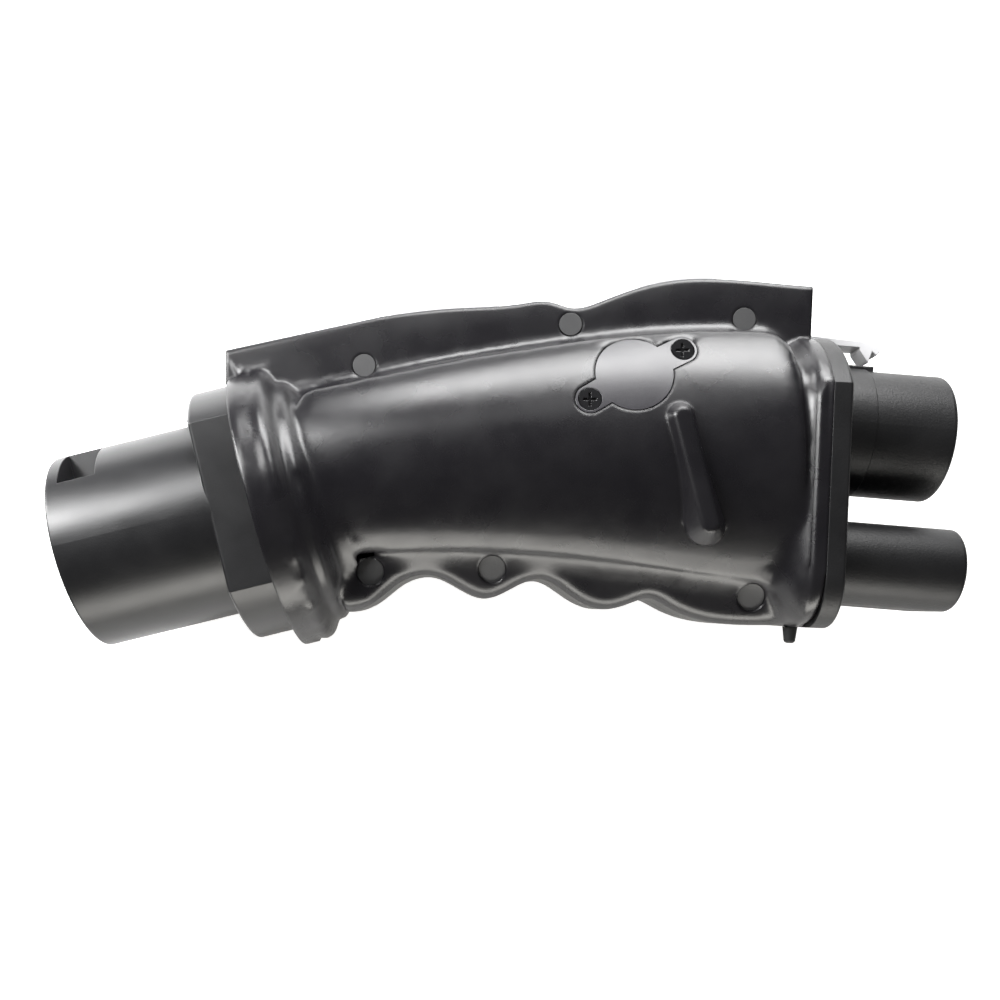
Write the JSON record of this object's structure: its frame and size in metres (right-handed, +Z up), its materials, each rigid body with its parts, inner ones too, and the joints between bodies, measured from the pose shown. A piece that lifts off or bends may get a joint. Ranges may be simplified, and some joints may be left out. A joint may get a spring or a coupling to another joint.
{
  "type": "ev charging adapter",
  "caption": "black handheld adapter that joins a large round charging plug to a combo plug, with a thumb latch for each end, finger grooves and a screwed service cover",
  "frame": {"origin": "under the middle of the bounding box, on the surface that the adapter lies on", "axes": "+X along the adapter, from the round plug towards the combo plug; +Y from the finger grooves towards the thumb buttons; +Z up, from the half that it lies on to the half with the service cover"},
  "size_m": [0.3084, 0.1308, 0.0964],
  "materials": {
    "housing_black": "fine-grained satin black moulded plastic",
    "plug_black": "satin black moulded plastic",
    "plate_black": "matte black moulded plastic with a coarser grain",
    "cover_black": "smooth satin black plastic with a slight violet cast",
    "cap_grey": "dark grey plastic",
    "latch_grey": "pale grey moulded plastic",
    "insulator_black": "matte black plastic",
    "seal_rubber": "black rubber",
    "black_steel": "black coated steel",
    "bright_steel": "bright steel",
    "silvered_copper": "silver plated copper",
    "copper": "bare copper",
    "board_green": "green solder mask"
  },
  "bodies": {
    "housing": {"near_shell": "housing_black", "far_shell": "housing_black", "service_cover": "cover_black", "service_cover_gasket": "seal_rubber", "service_cover_screws": "black_steel", "shell_screws": "black_steel", "shell_screw_caps": "cap_grey", "round_plug_housing": "plug_black", "round_plug_gasket": "seal_rubber", "round_plug_insulator": "insulator_black", "round_plug_power_sockets": "silvered_copper", "round_plug_signal_sockets": "silvered_copper", "combo_plug_housing": "plate_black", "combo_latch_guide": "plate_black", "combo_plug_upper_insulator": "insulator_black", "combo_plug_lower_insulator": "insulator_black", "combo_plug_power_sockets": "silvered_copper", "combo_plug_supply_sockets": "silvered_copper", "combo_plug_signal_sockets": "silvered_copper", "round_latch_pin": "bright_steel", "round_latch_spring": "bright_steel", "combo_latch_pin": "bright_steel", "combo_latch_spring": "bright_steel", "positive_busbar": "copper", "negative_busbar": "copper", "control_board": "board_green", "board_screws": "bright_steel", "service_port": "insulator_black", "drain_peg": "seal_rubber"},
    "round_latch": {"round_latch_lever": "latch_grey"},
    "combo_latch": {"combo_latch_lever": "latch_grey"}
  },
  "joints": [
    {"name": "round_latch_press", "type": "hinge", "parent": "housing", "child": "round_latch", "pos_m": [-0.0641, 0.03283, 0.04821], "axis": [0, 0, -1], "range_deg": [0, 3.5], "stiffness_Nm_per_rad": 0.3, "springref_deg": -5.73},
    {"name": "combo_latch_press", "type": "hinge", "parent": "housing", "child": "combo_latch", "pos_m": [0.0969, 0.04683, 0.04821], "axis": [0, 0, 1], "range_deg": [0, 3.5], "stiffness_Nm_per_rad": 0.3, "springref_deg": -5.73}
  ]
}
